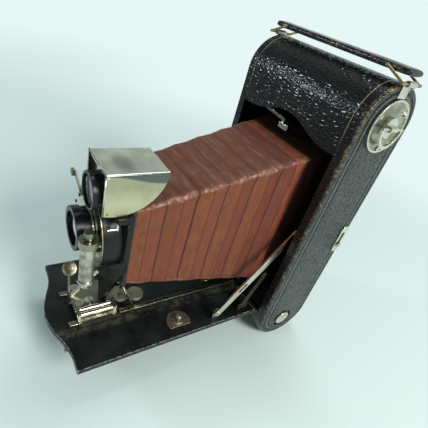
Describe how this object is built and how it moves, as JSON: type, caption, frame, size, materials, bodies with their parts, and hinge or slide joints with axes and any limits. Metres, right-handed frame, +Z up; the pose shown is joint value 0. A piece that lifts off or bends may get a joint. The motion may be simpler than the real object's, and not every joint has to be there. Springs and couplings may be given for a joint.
{
  "type": "folding roll film camera",
  "caption": "Folding roll film camera opened for use: leather covered case, drop bed, red bellows, sliding lens standard with pneumatic shutter, swivelling reflecting finder and winding key.",
  "frame": {"origin": "mouth of the tripod bush under the bed, on the camera's middle plane", "axes": "+Z up along the height of the case, the lens looks along -Y, +X towards the side with the winding key"},
  "size_m": [0.1322, 0.2244, 0.2526],
  "materials": {
    "leather_black": "pebbled, worn to brown at the edges",
    "bellows_leather": "matt, scuffed on the ridges",
    "nickel": "polished nickel plate, warm and lightly pitted",
    "brass": "dull",
    "black_enamel": "satin",
    "glass": "clear",
    "ruby_glass": "clear red",
    "mirror": "silvered",
    "wood": "plain turned wood"
  },
  "bodies": {
    "case": {"case_shell": "leather_black", "film_chassis": "black_enamel", "key_plate": "nickel", "side_bush": "brass", "handle_lugs": "nickel", "bed_plate": "leather_black", "bed_hinge": "black_enamel", "bed_bush": "brass", "bed_stud": "nickel", "track_rails": "nickel", "strut_near": "nickel", "strut_far": "nickel", "strut_braces": "black_enamel", "strut_rivets": "nickel", "bellows": "bellows_leather", "bellows_rear_frame": "black_enamel", "handle_strap": "leather_black", "handle_loops": "brass", "leg_hinge": "nickel"},
    "catch": {"catch_spring": "nickel"},
    "back": {"back_cover": "leather_black", "ruby_window": "ruby_glass", "latch_bezel": "nickel"},
    "latch": {"latch_button": "nickel"},
    "key": {"winding_key": "nickel"},
    "wing": {"key_wing": "nickel"},
    "takeup": {"takeup_spool": "wood"},
    "supply": {"supply_spool": "wood"},
    "roller_low": {"film_roller_lower": "nickel"},
    "roller_high": {"film_roller_upper": "nickel"},
    "pin_low_near": {"spool_pin_lower_near": "nickel"},
    "pin_low_far": {"spool_pin_lower_far": "nickel"},
    "pin_high_far": {"spool_pin_upper_far": "nickel"},
    "leg": {"prop_leg": "nickel"},
    "standard": {"standard_foot": "nickel", "foot_rods": "nickel", "focus_pointer": "nickel", "pull_tab": "brass", "foot_screws": "nickel", "standard_frame": "black_enamel", "lens_board": "black_enamel", "bellows_front_frame": "black_enamel", "shutter_case": "black_enamel", "shutter_face": "nickel", "lens_barrel": "black_enamel", "lens_ring": "black_enamel", "lenses": "glass", "air_cylinder": "nickel"},
    "clamp": {"clamp_lever": "nickel"},
    "release": {"release_lever": "nickel"},
    "piston": {"release_piston": "nickel"},
    "speed": {"speed_dial": "nickel"},
    "iris": {"iris_pointer": "nickel"},
    "finder": {"finder_bracket": "black_enamel", "finder_body": "black_enamel", "finder_front": "nickel", "finder_tube": "black_enamel", "finder_glasses": "glass", "finder_mirror": "mirror"},
    "lid": {"finder_hood": "nickel"}
  },
  "joints": [
    {"name": "standard_slide", "type": "slide", "parent": "case", "child": "standard", "axis": [0, -1, 0], "range_m": [-0.138, 0], "deforming": ["bellows"]},
    {"name": "clamp_turn", "type": "hinge", "parent": "standard", "child": "clamp", "pos_m": [0.004, -0.084, 0.0108], "axis": [0, 0, -1], "range_deg": [0, 35]},
    {"name": "release_press", "type": "hinge", "parent": "standard", "child": "release", "pos_m": [-0.017, -0.1126, 0.0995], "axis": [0, -1, 0], "range_deg": [0, 18]},
    {"name": "piston_rise", "type": "slide", "parent": "standard", "child": "piston", "axis": [0, 0, 1], "range_m": [0, 0.004], "stiffness_N_per_m": 2},
    {"name": "speed_turn", "type": "hinge", "parent": "standard", "child": "speed", "pos_m": [0, -0.1126, 0.1044], "axis": [0, 1, 0], "range_deg": [-100, 100]},
    {"name": "iris_turn", "type": "hinge", "parent": "standard", "child": "iris", "pos_m": [0, -0.1122, 0.083], "axis": [0, 1, 0], "range_deg": [-40, 40]},
    {"name": "finder_swivel", "type": "hinge", "parent": "standard", "child": "finder", "pos_m": [0.0305, -0.102, 0.1091], "axis": [0, 1, 0], "range_deg": [0, 90]},
    {"name": "hood_lift", "type": "hinge", "parent": "finder", "child": "lid", "pos_m": [0.015, -0.1129, 0.1375], "axis": [1, 0, 0], "range_deg": [0, 95]},
    {"name": "back_off", "type": "slide", "parent": "case", "child": "back", "axis": [0, 1, 0], "range_m": [0, 0.03]},
    {"name": "latch_slide", "type": "slide", "parent": "back", "child": "latch", "axis": [0, 0, 1], "range_m": [0, 0.005], "stiffness_N_per_m": 60},
    {"name": "key_turn", "type": "hinge", "parent": "case", "child": "key", "pos_m": [0.06, 0.058, 0.1835], "axis": [1, 0, 0], "continuous": true},
    {"name": "wing_fold", "type": "hinge", "parent": "key", "child": "wing", "pos_m": [0.0654, 0.058, 0.1835], "axis": [0, -1, 0], "range_deg": [0, 90]},
    {"name": "takeup_turn", "type": "hinge", "parent": "case", "child": "takeup", "pos_m": [0, 0.058, 0.1835], "axis": [1, 0, 0], "continuous": true},
    {"name": "supply_turn", "type": "hinge", "parent": "case", "child": "supply", "pos_m": [0, 0.058, -0.011], "axis": [1, 0, 0], "continuous": true},
    {"name": "roller_low_turn", "type": "hinge", "parent": "case", "child": "roller_low", "pos_m": [0, 0.0769, 0.01335], "axis": [1, 0, 0], "continuous": true},
    {"name": "roller_high_turn", "type": "hinge", "parent": "case", "child": "roller_high", "pos_m": [0, 0.0769, 0.16565], "axis": [1, 0, 0], "continuous": true},
    {"name": "pin_low_near_pull", "type": "slide", "parent": "case", "child": "pin_low_near", "axis": [1, 0, 0], "range_m": [0, 0.007], "stiffness_N_per_m": 120},
    {"name": "pin_low_far_pull", "type": "slide", "parent": "case", "child": "pin_low_far", "axis": [-1, 0, 0], "range_m": [0, 0.007], "stiffness_N_per_m": 120},
    {"name": "pin_high_far_pull", "type": "slide", "parent": "case", "child": "pin_high_far", "axis": [-1, 0, 0], "range_m": [0, 0.007], "stiffness_N_per_m": 120},
    {"name": "leg_fold", "type": "hinge", "parent": "case", "child": "leg", "pos_m": [0, -0.116, -0.0031], "axis": [1, 0, 0], "range_deg": [0, 92]},
    {"name": "catch_flex", "type": "hinge", "parent": "case", "child": "catch", "pos_m": [-0.045, 0.034, 0.1628], "axis": [0, -1, 0], "range_deg": [0, 4], "stiffness_Nm_per_rad": 0.5}
  ],
  "couplings": [
    {"joint": "release_press", "follows": "piston_rise", "rad_per_m": 78.5},
    {"joint": "takeup_turn", "follows": "key_turn", "ratio": 1}
  ]
}
